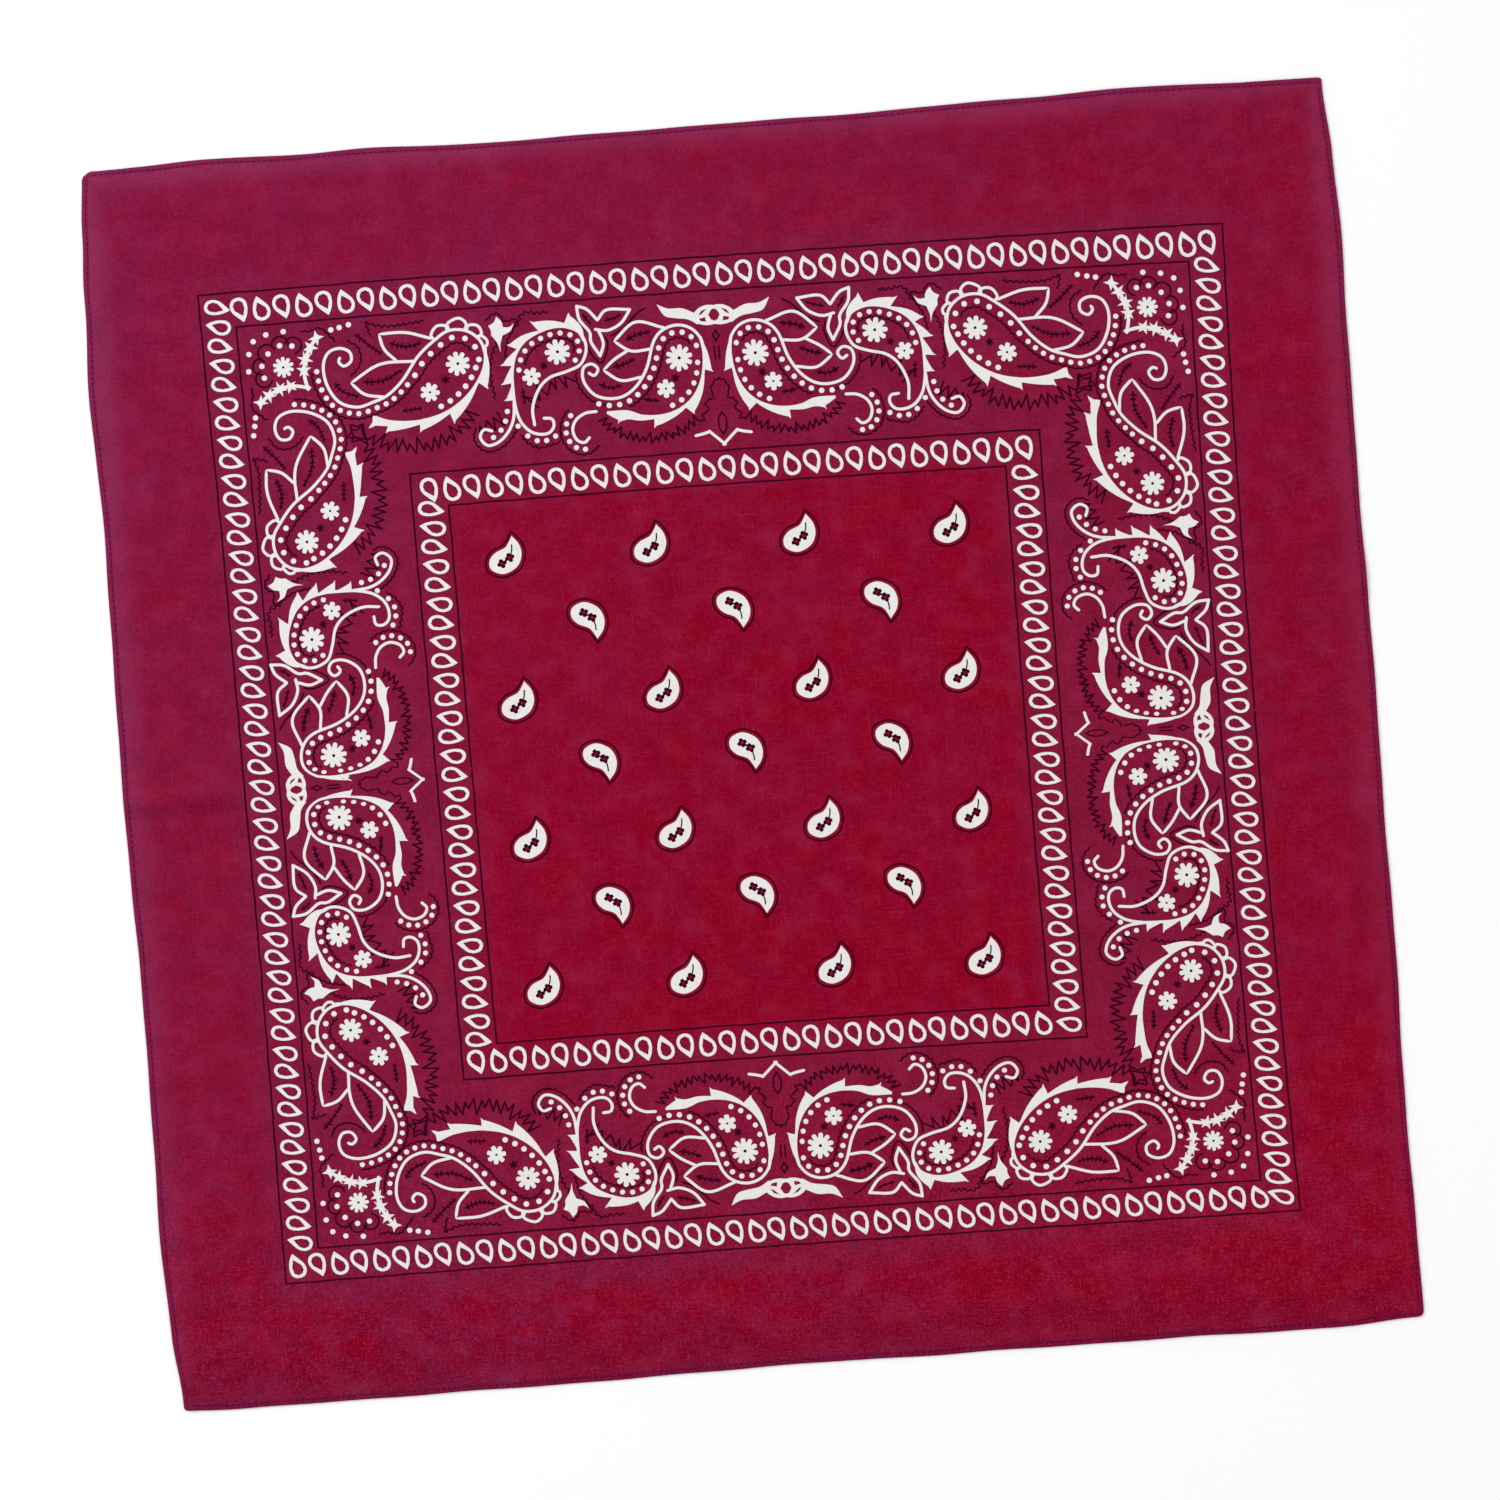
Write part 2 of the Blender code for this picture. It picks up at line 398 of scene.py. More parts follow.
def part_of(path, start, end):
    """A stretch of a path, between two fractions of its length."""
    last = len(path) - 1
    return path[int(round(start * last)):int(round(end * last)) + 1]


def stroke(path, width, ink, layer=LINE_LAYER, point_end=False):
    """A drawn line, in short lengths. Its ends are round, or the last is drawn out to a point."""
    path = np.asarray(path, float)
    tangent, normal = directions(path)
    half = np.full(len(path), width / 2)
    along = np.concatenate(([0.0], np.cumsum(np.hypot(*np.diff(path, axis=0).T))))
    if point_end:
        half *= np.clip(POINT_TIP + (along[-1] - along) / (width * POINT_LENGTH), 0.0, 1.0)
    left = path + normal * half[:, None]
    right = path - normal * half[:, None]
    marks = []
    for first in range(0, len(path) - 1, STROKE_CHUNK):
        past = min(first + STROKE_CHUNK, len(path) - 1) + 1
        marks.append((layer, ink, np.vstack([right[first:past], left[first:past][::-1]])))
    for end in (0, -1):
        if half[end] == width / 2:
            marks.append((layer, ink, disc(path[end], half[end], 8)))
    return marks


def disc(centre, radius, sides=12):
    turns = np.arange(sides) * math.tau / sides
    return np.column_stack([centre[0] + radius * np.cos(turns), centre[1] + radius * np.sin(turns)])


def star(centre, outer, inner, points, turn):
    """A star of straight-sided points, turned by an angle in degrees."""
    angle = math.radians(turn) + np.arange(2 * points) * math.pi / points
    radius = np.where(np.arange(2 * points) % 2 == 0, outer, inner)
    return np.column_stack([centre[0] + radius * np.cos(angle), centre[1] + radius * np.sin(angle)])


def white(path, **ends):
    return stroke(path, WHITE_LINE, WHITE, **ends)


def black(path, width=BLACK_LINE):
    return stroke(path, width, BLACK, UNDER_LAYER)


def ripple(path, swing):
    """A black contour with the slight tremble of a drawn line."""
    tremble = TREMBLE * swing * np.sin(np.arange(len(path)) * 2.2)
    return black(path + directions(path)[1] * tremble[:, None])


def dots(places, radius):
    return [(LINE_LAYER, WHITE, disc(at, radius)) for at in places]


def leaf(foot_a, tip, foot_b, bulge_a, bulge_b):
    """A leaf in outline: a bent line from each foot, meeting in a pointed tip."""
    return (white(bent(foot_a, tip, bulge_a), point_end=True)
            + white(bent(foot_b, tip, -bulge_b), point_end=True))


# Outline of a petal: place between its neighbours, and reach in radii of the flower.
PETAL = ((-0.5, 0.60), (-0.27, 0.97), (0, 1.04), (0.27, 0.97))


def flower(centre, radius, petals, turn=0):
    """A white flower of blunt petals with a dark eye."""
    outline = []
    for i in range(petals):
        for share, reach in PETAL:
            angle = math.radians(turn) + (i + share) * math.tau / petals
            outline.append((centre[0] + radius * reach * math.cos(angle),
                            centre[1] + radius * reach * math.sin(angle)))
    return [(LINE_LAYER, WHITE, np.array(outline)),
            (CENTRE_LAYER, BLACK, disc(centre, radius * 0.13, 8))]


def crest(path, barbs, end=(), right=False):
    """A white flame along the left of a path, or its right, cut into barbs.

    barbs has a row for each: the notch after it as a fraction of the path, its
    thickness at the foot and at the tip, and how far the tip leans past the
    notch. The flame may end in a few points of its own.
    """
    tangent, normal = directions(path)
    normal = -normal if right else normal
    last = len(path) - 1
    first, outer = 0, []
    for notch, foot, tip, lean in barbs:
        final = int(round(notch * last))
        reach = max(final - int(round(max(-lean, 0) / CURVE_STEP)) - first, 1)
        for i in range(reach):
            share = i / reach
            swell = foot + (tip * BARB_FULL - foot) * share ** BARB_CURVE
            at = first + i
            outer.append(path[at] + normal[at] * swell + tangent[at] * max(lean, 0) * share ** 2)
        at = first + reach
        outer.append(path[at] + normal[at] * tip + tangent[at] * max(lean, 0))
        first = final
    inner = path[:first + 1] - normal[:first + 1] * WHITE_LINE * 0.4
    return [(LINE_LAYER, WHITE, np.vstack([inner, *[np.array([p]) for p in end], outer[::-1]]))]


def vein(points, count, length):
    """A black midrib with paired barbs, like the vein of a leaf."""
    rib = through(points)
    tangent, normal = directions(rib)
    marks = black(rib)
    for i in range(count):
        at = int(round((i + 0.5) / count * (len(rib) - 1)))
        for side in (1, -1):
            reach = length * (1.25 - 0.5 * i / count) * (1.0 if (i + (side > 0)) % 2 else 0.75)
            tip = rib[at] + normal[at] * side * reach + tangent[at] * reach * 0.55
            barb = np.array([rib[at], (rib[at] + tip) / 2, tip])
            marks += stroke(barb, BLACK_LINE, BLACK, UNDER_LAYER, point_end=True)
    return marks


def cross(centre, reach):
    """A small black mark of three crossed strokes."""
    marks = []
    for turn in (20, 80, 140):
        way = np.array([math.cos(math.radians(turn)), math.sin(math.radians(turn))]) * reach
        marks += black(np.array([centre - way, centre + way]))
    return marks


def grass(points, pitch, height):
    """Black zigzag strokes on the left of a path, uneven like quick pen work."""
    path = through(points, pitch / 2)
    tangent, normal = directions(path)
    corners = []
    for i, (at, along, out) in enumerate(zip(path, tangent, normal)):
        reach = 1.05 + 0.35 * math.sin(i * 1.9 + 0.6) if i % 2 else 0.12 * math.sin(i * 1.3)
        corners.append(at + out * height * reach + along * pitch * (0.18 * math.sin(i * 2.7) + 0.10))
    return [mark for leg in zip(corners, corners[1:]) for mark in black(np.array(leg))]


def lace(path, loops):
    """White scallops on the right of a path: where each starts and ends along it, and its reach."""
    marks = []
    normal = -directions(path)[1]
    for start, end, reach in loops:
        a, b = int(round(start / CURVE_STEP)), int(round(end / CURVE_STEP))
        crown = path[(a + b) // 2] + normal[(a + b) // 2] * reach
        shoulders = [path[at] + normal[at] * reach * SHOULDER for at in (a, b)]
        marks += stroke(through([path[a], shoulders[0], crown, shoulders[1], path[b]]), LACE_LINE, WHITE)
    return marks


# Burrs on a thorny twig, from its fork on: their place along it, radius, inner
# radius, number of points and turn from the twig's own way.
BURRS = ((0.05, 3.5, 1.25, 4, 45), (0.24, 3.5, 1.4, 5, 180), (0.45, 3.7, 1.4, 6, 30),
         (0.66, 3.4, 1.35, 5, 180))
TWIG = 1.5  # width of the twig


def burrs(path):
    """A white twig that starts in a fork and carries spiny burrs, one behind another."""
    tangent = directions(path)[0]
    marks = stroke(path, TWIG, WHITE)
    for share, outer, inner, points, turn in BURRS:
        at = int(round(share * (len(path) - 1)))
        way = math.degrees(math.atan2(tangent[at][1], tangent[at][0]))
        marks.append((LINE_LAYER, WHITE, star(path[at], outer, inner, points, way + turn)))
    return marks


def dot_row(path, start, end, distance, pitch, radius):
    """White dots beside a stretch of a path."""
    return dots(even(beside(part_of(path, start, end), distance), pitch), radius)


def contour(path, start, end, distance, swing):
    """A rippled black line beside a stretch of a path."""
    return ripple(beside(part_of(path, start, end), distance), swing)


# ---- the print: motifs of the border
# The border is one design, drawn for half a side and repeated eight times. Its
# points are (s, d): s is the distance from the middle of the side towards the
# corner, and d the depth inward from the line outside the border.

def middle_paisley():
    """The paisley next to the middle of a side, with its flame, dots and two leaves."""
    outline = through([
        *winding((17.6, 26.6), 11.6, 11.8, 170, 335, 6), (31.8, 32.2), (36.6, 39.8), (42.6, 44.2), (49.4, 45),
        (55.8, 42.6), (59.8, 36.6), (59.6, 31), (56, 29.2), (53.2, 31.6), (55, 34.4), (57.2, 33.2)])
    belly = through([(7.2, 21), (6.2, 28.4), (7.6, 38), (11.6, 45.8), (18.4, 51.6), (27, 54), (35.4, 53.6),
                     (42, 51.2), (50.8, 51)])
    return [
        *white(outline), *white(part_of(belly, 0, 0.6), point_end=True),
        *crest(belly, ((0.205, 0.2, 4.6, 0.5), (0.485, 0.3, 5.4, -0.9), (0.69, 0.8, 5.2, 0.2),
                       (0.93, 1.2, 5.4, 0.4), (1, 3.6, 0.6, 0))),
        *dot_row(outline, 0.05, 0.7, 3, 4.6, 1.2), *dot_row(belly, 0.16, 0.56, -3, 4.5, 1.2),
        *flower((17.6, 29.4), 5.8, 10, 12), *flower((24.4, 42.4), 4, 6, 30),
        *leaf((23.4, 15.6), (45.4, 20), (29.8, 24.6), -5.6, -2.6),
        *leaf((40.2, 24.8), (51, 32.4), (34.8, 36.6), -0.6, -3),
        *vein([(40, 19.8), (35, 17.8), (29.6, 17)], 7, 1.5),
        *vein([(46.4, 31.4), (41.6, 30.4), (37.2, 28.4)], 6, 1.4),
        *vein([(53, 38.4), (48.6, 40.4), (43.8, 39.6)], 6, 1.3),
        *cross((19.9, 38), 1.5), *vein([(34, 46.6), (28, 47.4)], 4, 1.2),
        *contour(outline, 0.08, 0.6, 5.4, 0.25), *contour(outline, 0.66, 0.84, 2.8, 0.2),
    ]


def small_paisley():
    """The smaller paisley with a jagged flame round its head and two curled feet."""
    head = ((64.8, 12.4), (71, 11.8), (78, 13.6), (84.4, 17.2), (88.6, 22.8), (90.5, 30))
    outline = through([
        (82.5, 54), (82.8, 46.6), (79.6, 38.6), (74.4, 33.8), (66.6, 31.6), (60.4, 28.8), (57.6, 22),
        (59.6, 15.6), *head, (90.7, 38), (90.3, 45), (88.6, 51.6), (85.2, 56.2), (81, 58.2), (76.6, 58),
        (74.2, 55.2), (74.8, 52), (78.2, 51.4)])
    foot = through([(90.6, 43), (91.4, 50.4), (94, 56), (98.4, 60.2), (103.4, 61.4), (106.4, 57.8),
                    (104.6, 54.4), (101.2, 55.2)])
    back = through([(58.4, 18.8), (60.6, 14.6), *head, (90.7, 42.6)])
    return [
        *white(outline), *white(foot),
        *crest(back, ((0.2, 0.2, 6.4, -0.9), (0.4, 1.6, 6, 1.6), (0.6, 0.6, 5.2, 0.6), (0.745, 0.4, 5.4, 0.5),
                      (0.87, 0.4, 5.2, 0.5), (1, 0.2, 4.2, 0)), right=True),
        *dot_row(outline, 0.27, 0.66, 2.9, 4.4, 1.15),
        *dots(((89.7, 54), (85.8, 58.6), (81.9, 61), (77.8, 61.2), (73.8, 59.6), (93.9, 47.2), (95, 51.4),
               (97.2, 55.2), (100.7, 58.1)), 1.15),
        *flower((70.2, 22.8), 5.5, 9, 0), *flower((82.3, 32.8), 4, 6, 10),
        *contour(foot, 0.3, 0.86, 2.8, 0.2),
        *ripple(through([(88.8, 58), (85.6, 62), (81.2, 64.2), (76.8, 63.6), (72, 62.4)]), 0.3),
        *contour(outline, 0.3, 0.64, 5.2, 0.25),
        *cross((76.6, 28.4), 1.3), *vein([(86.6, 38), (86, 44.4)], 4, 1.1),
    ]


def big_paisley():
    """The large paisley near the corner, with a lace edge, two leaves and a long flame."""
    outline = through([
        *winding((113.9, 22.3), 12.6, 12.8, 178, 318, 5), (131, 20.2), (138, 29.6), (145, 35.8),
        (151.6, 38.4), (158.8, 39.8), (166.4, 36.6), (171, 29), (172.2, 20.6), (169.8, 14.8), (164.8, 13.3), 
        (160.4, 15.4), (160, 19.4), (163.2, 21.3), (165.4, 19.2), (164.8, 17.6)])
    belly = through([(101.4, 19), (102.2, 26), (105.4, 32.8), (111.2, 39.6), (118.8, 44.8), (127, 47.6),
                     (136, 48.4), (145, 47.4), (151.6, 44.8)])
    return [
        *white(outline), *white(part_of(belly, 0, 0.7), point_end=True),
        *crest(belly, ((0.235, 0.2, 5.6, 0.4), (0.505, 0.4, 6.2, 0.5), (0.7, 1.2, 5.2, 0.4),
                       (0.895, 1.6, 5.4, 0.4), (0.985, 2.2, 4.4, 0)),
               end=((152.2, 44.4), (152.6, 47.2), (154.4, 49.6))),
        *dot_row(outline, 0, 0.37, 3.3, 5.6, 1.25), *dot_row(outline, 0.4, 0.765, 2.9, 4.1, 1.15),
        *dot_row(belly, 0.15, 0.53, -3.4, 5.1, 1.25),
        *lace(outline, ((5, 9.2, 2.6), (9.4, 15.6, 4.2), (15.8, 23.2, 5), (23.4, 30.4, 4.2))),
        *flower((113.8, 24.6), 5.2, 9, 0), *flower((126.8, 36.2), 4.2, 7, 20),
        *leaf((124.8, 12.6), (147.2, 9), (140.6, 21), -1.6, -1.6),
        *leaf((132.6, 22), (160.8, 29), (146.8, 36.6), -3.4, -2.2),
        *vein([(142.6, 13.4), (136, 15.4), (129.6, 14.4)], 7, 1.5),
        *vein([(155, 29.4), (146.6, 29.4), (138.6, 25.6)], 8, 1.5),
        *vein([(167.6, 28.4), (164.4, 32.4), (158, 35.2)], 6, 1.4),
        *vein([(157.4, 8), (152.8, 12.6), (146.8, 17.6)], 7, 1.3),
        *cross((119.6, 31.2), 1.5), *vein([(139, 43.4), (131, 42.8)], 4, 1.3),
        *contour(outline, 0.04, 0.38, 5.8, 0.25), *contour(outline, 0.38, 0.76, 5.2, 0.2),
        *ripple(through([(161, 10.6), (156.8, 13.6), (155.6, 18.6), (157.2, 23), (160.4, 25.8)]), 0.2),
    ]


def sprig():
    """Three outlined blades that meet between the two inner paisleys."""
    blades = ([(60.4, 3.4), (59.6, 9.4), (55.6, 15.2), (55.3, 19.6), (51.8, 26)],
              [(60.4, 3.4), (56, 5.2), (51.8, 10.2)], [(51.8, 10.2), (47.4, 6), (37.4, 6.6)],
              [(53, 14.2), (47.6, 15), (41.6, 12.2), (37.4, 6.6)], [(51.8, 26), (50, 20.6), (51.6, 15)])
    return [
        *(mark for blade in blades for mark in white(through(blade))),
        *vein([(48.6, 10.8), (44.6, 9.8), (41.4, 8.6)], 3, 1),
        *vein([(57.8, 7.4), (56.4, 9.8), (55, 11.6)], 3, 0.9),
        *black(through([(49, 17.8), (48.2, 22), (51.2, 29), (54.8, 26), (57.6, 19.6)])),
        *black(through([(31, 6.6), (35, 9), (41, 14.8), (46.4, 17.6)])),
    ]


def hook():
    """A free curl with a row of dots on its back."""
    curl = through([(55.4, 50.2), (60.2, 50.6), (64.4, 53.2), (66.2, 57.4), (64.8, 61.8), (61.6, 63.4),
                    (59.2, 61.4)])
    return white(curl) + dot_row(curl, 0.36, 0.88, -3, 4.2, 1.15) + contour(curl, 0.34, 1, -5.4, 0.2)


def fleur():
    """A small solid white bloom with a black outline beside it."""
    tips = ((95.6, 5.4), (93, 10.2), (88.2, 8.8), (93.4, 13.8), (94.8, 21.2), (98.4, 13.4), (99.4, 9.2))
    bulges = (0.7, -0.9, 1.2, -0.6, -0.7, -0.5, -0.8)
    edges = [bent(*ends)[:-1] for ends in zip(tips, tips[1:] + tips[:1], bulges)]
    around = through([(100.4, 6.8), (96.6, 4), (93.8, 5), (92.2, 7.8), (86.8, 7.2), (89, 12), (91.6, 16.4),
                      (93.2, 23.6)])
    return [(LINE_LAYER, WHITE, np.vstack(edges)), *ripple(around, 0.25)]


def middle_ornament():
    """Half of the ribbon, the leaf shape and the chevron on the middle of a side."""
    wing = np.vstack([through([(25.6, 5.2), (20.8, 7.4), (14.8, 7.7), (9, 10.2)]),
                      through([(7.8, 15.4), (12.4, 12.8), (18.2, 11.8), (22.6, 10.4), (25.6, 5.2)])[:-1]])
    knot = through([(-0.4, 7.3), (3.2, 7), (6.8, 8.1), (9.6, 10.6), (9.6, 13.6), (6.8, 15.3), (3.2, 15.9),
                    (-0.4, 15.5)])
    gaps = ([(-0.5, 8.7), (1.3, 9.2), (2.7, 11.4), (1.5, 13.6), (-0.5, 14.2)],
            [(3.3, 8.6), (5.8, 9.4), (7.4, 11.4), (5.8, 10.9)],
            [(3.9, 14.3), (4.3, 12.3), (7.2, 12.9), (6.4, 14)])
    stems = ([(-0.2, 18.2), (1.6, 20.6)], [(1.6, 20.6), (-0.2, 23)], [(1.1, 25.4), (0.9, 31)])
    return [
        (LINE_LAYER, WHITE, wing), (LINE_LAYER, WHITE, knot),
        *((CENTRE_LAYER, BARE, np.array(gap)) for gap in gaps),
        *white(through([(13, 64), (9.6, 63.4), (6.4, 62.6)])), *white(even([(6.6, 62.4), (-0.4, 68.6)])),
        *(mark for stem in stems for mark in black(even(stem))),
        *ripple(through([(-0.2, 39.2), (2.8, 41), (4.3, 44.2), (3.3, 47.6), (7.4, 49.8), (6, 53.2), (9, 54.8),
                         (8.4, 57.4), (10.8, 57.8)], 1.2), 0.3),
        *black(through([(-0.2, 54.4), (1.5, 56.4), (1.9, 59.2), (1.4, 62), (-0.2, 64)])),
    ]


def corner_group():
    """Half of the dots, scallops and thorny twig in a corner, up to its diagonal.

    Its points are (p, q): the distances from the two lines that meet in the corner.
    """
    return [
        *dots(((12, 4.2), (19.6, 3.4), (17.6, 9.4), (22.9, 10), (40.2, 4.4), (43.9, 3.7), (48, 2.8)), 1.2),
        *black(through(winding((17.8, 9), 3.6, 3.6, 170, 372, 9))),
        *black(through(winding((23.4, 9.8), 3.6, 3.6, 200, 440, 9))),
        *ripple(through([(27, 3.8), (31, 4.2), (35.6, 3.2), (39, 6.4), (41.6, 9.4)]), 0.25),
        *burrs(through([(34.2, 6.6), (30.6, 11.6), (28, 17.2), (27.4, 23), (28.6, 29.4)])),
    ]


def corner_centre():
    """The flower and dots on the diagonal of a corner, in the same (p, q)."""
    marks = flower((18.8, 18.8), 4.5, 10) + dots(((6.5, 6.6), (12.4, 12.6)), 1.2)
    return marks + black(through(winding((12, 12), 3.8, 3.8, 110, 340, 10)))


def border_grass():
    """The black pen strokes that follow the white shapes on their inner side."""
    knot = ((155.4, 54.4), (157.6, 50.8), (156.4, 47), (159.4, 48.6), (162.4, 46.6), (161.8, 50),
            (164.2, 52.6), (160.4, 53), (155.4, 54.4))
    return [
        *grass([(55, 54.4), (50.6, 59), (44.2, 63), (35, 65.2), (26, 65), (18, 62.6), (10.8, 57.8)],
               2.9, 3.1),
        *grass([(80.6, 47), (77.4, 41.6), (71, 39.6), (64.4, 37)], 4.2, 5.6),
        *grass([(98, 47), (103, 51), (108, 52.4)], 3.4, 5),
        *grass([(106, 47.6), (112, 54), (120, 59.6), (130, 61.8), (140, 61.4), (149, 59.4), (155.4, 55)],
               3.7, -4.8),
        *ripple(through([(152.6, 3.4), (151, 9.6)]), 0.3),
        *ripple(through([(152.6, 3.4), (146, 5.6), (139, 5.8), (127.6, 4.8)]), 0.4),
        *ripple(through([(73, 4.9), (78, 5.2), (82.4, 4.4), (85.4, 6), (86.6, 9.4), (95, 15.4), (99.4, 24),
                         (100, 33), (98.6, 41)]), 0.5),
        *black(even(knot, 1.6)),
    ]


# ---- the print: teardrops and paisleys of the field
# A teardrop with its tip down, in millimetres to the right and down of its middle.
DROP_EDGE = ((2, 5.6), (3.3, 2.9), (3.8, -0.8), (2.9, -4.2), (0.2, -5.6), (-2.8, -4.5), (-3.8, -1.8),
             (-3, 0.9), (-0.9, 3.1), (2, 5.6))
DROP_HOLE = ((1.9, 2.8), (2.5, -0.7), (1.8, -3.3), (0.1, -4.3), (-1.8, -3.5), (-2.5, -1.7),
             (-1.8, 0.3), (0.2, 1.8))
UPRIGHT_DROP = 0.9  # the teardrops of the upright rows are this much narrower
DROP_SWING = 0.35  # how far neighbouring teardrops of a pair stand off an even pitch
# What turns that teardrop's tip each way: where its right and its down point.
TIPS = {"down": ((1, 0), (0, -1)), "up": ((-1, 0), (0, 1)),
        "right": ((0, -1), (1, 0)), "left": ((0, 1), (-1, 0))}
# Two square rings of teardrops. Each side runs from its first to its last one.
#    runs along, across the side, first and last along it, count, lean, ways they point by turns
DROP_ROWS = (
    ("x", 215, -205.6, 216.2, 47, 0, "down", "up"), ("x", -215.2, -217.6, 205.8, 47, 0, "up", "down"),
    ("y", -215.3, 216.7, -204.7, 50, 0, "right", "left"),
    ("y", 215.3, 204.9, -215.6, 50, 0.2, "right", "left"),
    ("x", 129.2, -129.1, 130.3, 29, 0, "down", "up"), ("x", -129.4, -130.8, 118.2, 28, 0, "down", "up"),
    ("y", -129.3, 120.6, -119.5, 29, 0, "right", "left"), ("y", 129.6, 118.2, -130.6, 30, 0, "right", "left"),
)


def teardrop(centre, way, lean):
    """A white teardrop whose tip points one way, sheared by its lean."""
    narrow = UPRIGHT_DROP if way in ("right", "left") else 1
    marks = []
    for layer, ink, edge in ((LINE_LAYER, WHITE, through(DROP_EDGE, 1.1)[:-1]),
                             (CENTRE_LAYER, BARE, np.array(DROP_HOLE))):
        sheared = np.column_stack([(edge[:, 0] + lean * edge[:, 1]) * narrow, edge[:, 1]])
        marks.append((layer, ink, sheared @ TIPS[way] + centre))
    return marks


def drop_rows():
    marks = []
    for axis, across, first, last, count, lean, *ways in DROP_ROWS:
        for i, along in enumerate(np.linspace(first, last, count)):
            along += DROP_SWING if ways[i % 2] in ("up", "right") else -DROP_SWING
            marks += teardrop((along, across) if axis == "x" else (across, along), ways[i % 2], lean)
    return marks


def frame_lines():
    """The four black lines that bound the border and the teardrops."""
    marks = []
    corners = ((-1, 1), (1, 1), (1, -1), (-1, -1), (-1, 1))
    for half in (DESIGN_HALF, BORDER_HALF, 137, 121.8):
        for ends in zip(corners, corners[1:]):
            side = even(np.array(ends) * half, 3)
            step = np.arange(len(side))
            wander = 0.14 * np.sin(step * 0.9 + half) * np.sin(step * 0.23)
            marks += black(side + directions(side)[1] * wander[:, None], FRAME_LINE)
    return marks


FIELD_EDGE = ((3.5, 8.5), (6.4, 4.4), (7.1, -0.6), (4.7, -5.6), (-1.1, -8.4), (-6.3, -6.3), (-7, -2.2),
              (-4.4, 1.2), (0.2, 3.4), (2.3, 6.2), (3.5, 8.5))
FIELD_RING = ((3.3, 10.4), (6, 7.8), (8.2, 4), (8.6, -1), (6, -6.8), (-1, -9.9), (-7.6, -7.5), (-8.5, -2),
              (-5.6, 2.3), (-1.4, 4.2), (1.2, 6.6), (3.3, 10.4))
# Columns and rows of the paisleys that stand upright, and of those upside down.
FIELD = (((-99.3, -36.1, 29.2, 95.1), (97.4, 31.5, -31.6, -97.6), 1),
         ((-65.9, -2.2, 62.5), (65.2, 1.2, -63.8), -1))


def field_paisley(x, y, up):
    """A small solid paisley of the field with a flower sprig in it; up is 1 or -1."""
    def put(points):
        return np.array(points) * (1, up) + (x, y)

    marks = [
        (LINE_LAYER, WHITE, put(through(FIELD_EDGE)[:-1])), *black(put(through(FIELD_RING)), FIELD_LINE),
        *stroke(put(through([(3.2, 4.4), (3.1, 2.4), (2.5, 0.2)])), 0.62, BLACK, CENTRE_LAYER),
        *stroke(put([(1.6, -1.6), (-0.6, -2.9)]), 0.9, BLACK, CENTRE_LAYER),
    ]
    for bloom in ((1.9, -1.2), (-1.6, -3.7)):
        centre = put(bloom)
        lobes = winding(centre, 1.2, 1.2, 20, 290, 4)
        marks += [(CENTRE_LAYER, BLACK, disc(lobe, 1, 9)) for lobe in lobes]
        marks.append((EYE_LAYER, BARE, disc(centre, 0.8, 8)))
    return marks


def field():
    return [mark for columns, rows, up in FIELD for x in columns for y in rows
            for mark in field_paisley(x, y, up)]


# How the motifs lie on the top and bottom, and on the left and right: how much
# nearer the middle of the side they stand, how much nearer the outside, over
# what length that dies out towards the corner, and how much more near the middle.
ON_LEVEL = (1, 0.7, 20, 0)
ON_UPRIGHT = (3.7, 2.5, 32, 1.6)
MIDDLE_SPAN = 14  # half of the ornament in the middle of a side
RISE_END = 172  # where along the side the first rise ends
MIDDLE_RISE_END = 58  # and where the one near the middle does
MIDDLE_RISE_FADE = 26  # over this length
CORNER_ALONG = BORDER_HALF - 0.5  # where along the side a corner's motifs start from
CORNER_DEEPER = 0.3  # and how much deeper they lie


def on_side(points, squeeze, rise, fade, middle_rise):
    """Points of half a side of the design as they lie on one of the sides."""
    along, depth = points.T
    rise = (rise * np.clip((RISE_END - along) / fade, 0, 1)
            + middle_rise * np.clip((MIDDLE_RISE_END - along) / MIDDLE_RISE_FADE, 0, 1))
    return np.column_stack([along - squeeze * np.clip(along / MIDDLE_SPAN, -1, 1), depth - rise])


def whole_print():
    """Every mark of the print, in millimetres right and up of the middle of the design."""
    half_side = []
    for motif in (middle_paisley, small_paisley, big_paisley, sprig, hook, fleur, middle_ornament,
                  border_grass):
        half_side += motif()
    corner, centre = ([(layer, ink, np.column_stack([CORNER_ALONG - p[:, 0], CORNER_DEEPER + p[:, 1]]))
                       for layer, ink, p in group] for group in (corner_group(), corner_centre()))
    marks = []
    for quarter, (cos, sin) in enumerate(QUARTERS):
        lie = ON_UPRIGHT if quarter % 2 else ON_LEVEL
        row = [(layer, ink, on_side(p, *lie)) for layer, ink, p in half_side]
        for side, group in ((1, row + corner + centre), (-1, row + corner)):
            for layer, ink, points in group:
                x, y = side * points[:, 0], BORDER_HALF - points[:, 1]
                marks.append((layer, ink, np.column_stack([x * cos - y * sin, x * sin + y * cos])))
    return marks + drop_rows() + frame_lines() + field()


# ---- the print: laid on the cloth
INK_LIFT = 0.07  # how far the ink lies over the cloth
SAME_POINT = 1e-4  # corners nearer than this are one
